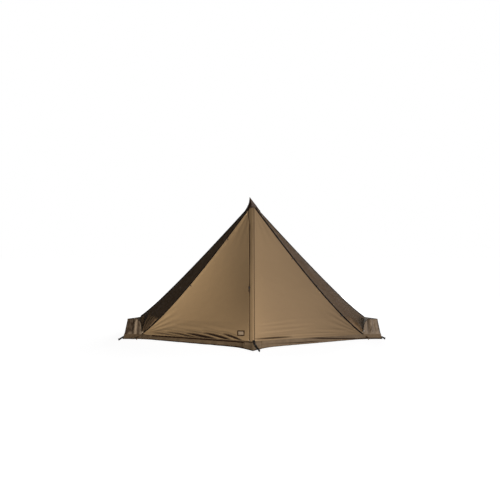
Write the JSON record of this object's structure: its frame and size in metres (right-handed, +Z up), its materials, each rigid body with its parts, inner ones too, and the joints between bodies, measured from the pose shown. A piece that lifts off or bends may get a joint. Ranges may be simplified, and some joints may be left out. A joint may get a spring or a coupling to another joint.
{
  "type": "one-pole tent",
  "caption": "Coyote-brown one-pole tent with a pointed hood, two zipped front doors, low side walls with pulled-out corners, ground skirts and pegs.",
  "frame": {"origin": "centre of the underside of the pole's rubber foot, on the ground", "axes": "+Z up along the pole, -Y out through the front doors, +X to a viewer's right when facing the doors"},
  "size_m": [3.0884, 2.2108, 1.7729],
  "materials": {
    "coyote_cloth": "fine plain-woven nylon, slight sheen",
    "black_tape": "woven binding tape",
    "black_webbing": "ribbed webbing",
    "brown_zip_tape": "knitted zip tape with a moulded coil",
    "patch_fabric": "dense woven patch",
    "elastic_cord": "braided elastic cord",
    "dark_acetal": "moulded, satin",
    "dark_zinc": "die-cast, dark plated",
    "grey_rubber": "moulded rubber",
    "pole_aluminium": "drawn tube, clear anodised",
    "peg_steel": "zinc-plated round bar"
  },
  "bodies": {
    "root": {"left_door_edge": "coyote_cloth", "right_door_edge": "coyote_cloth", "left_side_roof": "coyote_cloth", "right_side_roof": "coyote_cloth", "left_side_wall": "coyote_cloth", "right_side_wall": "coyote_cloth", "left_side_skirt": "coyote_cloth", "right_side_skirt": "coyote_cloth", "rear_roof": "coyote_cloth", "rear_wall": "coyote_cloth", "rear_skirt": "coyote_cloth", "front_corner_tab": "coyote_cloth", "left_seam_tape": "black_tape", "right_seam_tape": "black_tape", "left_hip_tape": "black_tape", "right_hip_tape": "black_tape", "rain_hood": "coyote_cloth", "peak_cap": "black_webbing", "pole_foot": "grey_rubber", "pole_lower": "pole_aluminium", "pole_middle": "pole_aluminium", "pole_upper": "pole_aluminium", "pole_tip": "dark_acetal", "left_upper_toggle_cord": "elastic_cord", "left_lower_toggle_cord": "elastic_cord", "right_upper_toggle_cord": "elastic_cord", "right_middle_toggle_cord": "elastic_cord", "right_lower_toggle_cord": "elastic_cord", "front_strap_loop": "black_webbing", "left_seam_loop": "black_webbing", "right_seam_loop": "black_webbing", "left_ear_loop": "black_webbing", "right_ear_loop": "black_webbing", "left_rear_loop": "black_webbing", "right_rear_loop": "black_webbing", "front_strap_peg": "peg_steel", "left_seam_peg": "peg_steel", "right_seam_peg": "peg_steel", "left_ear_peg": "peg_steel", "right_ear_peg": "peg_steel", "left_rear_peg": "peg_steel", "right_rear_peg": "peg_steel", "front_buckle": "dark_acetal"},
    "left_door": {"left_door": "coyote_cloth", "left_door_skirt": "coyote_cloth", "left_zip_half": "brown_zip_tape", "blank_patch": "patch_fabric"},
    "right_door": {"right_door": "coyote_cloth", "right_door_skirt": "coyote_cloth", "right_zip_half": "brown_zip_tape", "storm_flap": "coyote_cloth"},
    "upper_slider": {"upper_slider": "dark_zinc"},
    "lower_slider": {"lower_slider": "dark_zinc"},
    "upper_pull": {"upper_pull": "dark_zinc"},
    "lower_pull": {"lower_pull": "dark_zinc"},
    "left_upper_toggle": {"left_upper_toggle": "dark_acetal"},
    "left_lower_toggle": {"left_lower_toggle": "dark_acetal"},
    "right_upper_toggle": {"right_upper_toggle": "dark_acetal"},
    "right_middle_toggle": {"right_middle_toggle": "dark_acetal"},
    "right_lower_toggle": {"right_lower_toggle": "dark_acetal"}
  },
  "joints": [
    {"name": "left_door_swing", "type": "hinge", "parent": "root", "child": "left_door", "pos_m": [-0.82443, -0.21512, 0.4144], "axis": [-0.6436, -0.0817, -0.761], "range_deg": [0, 110]},
    {"name": "right_door_swing", "type": "hinge", "parent": "root", "child": "right_door", "pos_m": [0.82443, -0.21512, 0.4144], "axis": [-0.6436, 0.0817, 0.761], "range_deg": [0, 110]},
    {"name": "upper_slider_travel", "type": "slide", "parent": "left_door", "child": "upper_slider", "axis": [0, 0.5911, 0.8066], "range_m": [0, 0.84]},
    {"name": "lower_slider_travel", "type": "slide", "parent": "left_door", "child": "lower_slider", "axis": [0, -0.5911, -0.8066], "range_m": [0, 0.56]},
    {"name": "upper_pull_swing", "type": "hinge", "parent": "upper_slider", "child": "upper_pull", "pos_m": [-0.04033, -0.65211, 0.6168], "axis": [-0.8588, 0.4133, -0.3029], "range_deg": [0, 150]},
    {"name": "lower_pull_swing", "type": "hinge", "parent": "lower_slider", "child": "lower_pull", "pos_m": [-0.04033, -0.6793, 0.5797], "axis": [-0.8588, 0.4133, -0.3029], "range_deg": [0, 150]},
    {"name": "left_upper_toggle_turn", "type": "hinge", "parent": "root", "child": "left_upper_toggle", "pos_m": [-0.28495, -0.09856, 1.12896], "axis": [-0.5124, -0.6927, 0.5076], "range_deg": [-90, 90]},
    {"name": "left_lower_toggle_turn", "type": "hinge", "parent": "root", "child": "left_lower_toggle", "pos_m": [-0.69997, -0.17739, 0.60252], "axis": [-0.5124, -0.6927, 0.5076], "range_deg": [-90, 90]},
    {"name": "right_upper_toggle_turn", "type": "hinge", "parent": "root", "child": "right_upper_toggle", "pos_m": [0.45381, -0.13524, 0.90848], "axis": [0.5124, -0.6927, 0.5076], "range_deg": [-90, 90]},
    {"name": "right_middle_toggle_turn", "type": "hinge", "parent": "root", "child": "right_middle_toggle", "pos_m": [0.7348, -0.13262, 0.60087], "axis": [0.7368, -0.2123, 0.6419], "range_deg": [-90, 90]},
    {"name": "right_lower_toggle_turn", "type": "hinge", "parent": "root", "child": "right_lower_toggle", "pos_m": [1.00053, -0.20214, 0.26542], "axis": [0.5124, -0.6927, 0.5076], "range_deg": [-90, 90]}
  ]
}
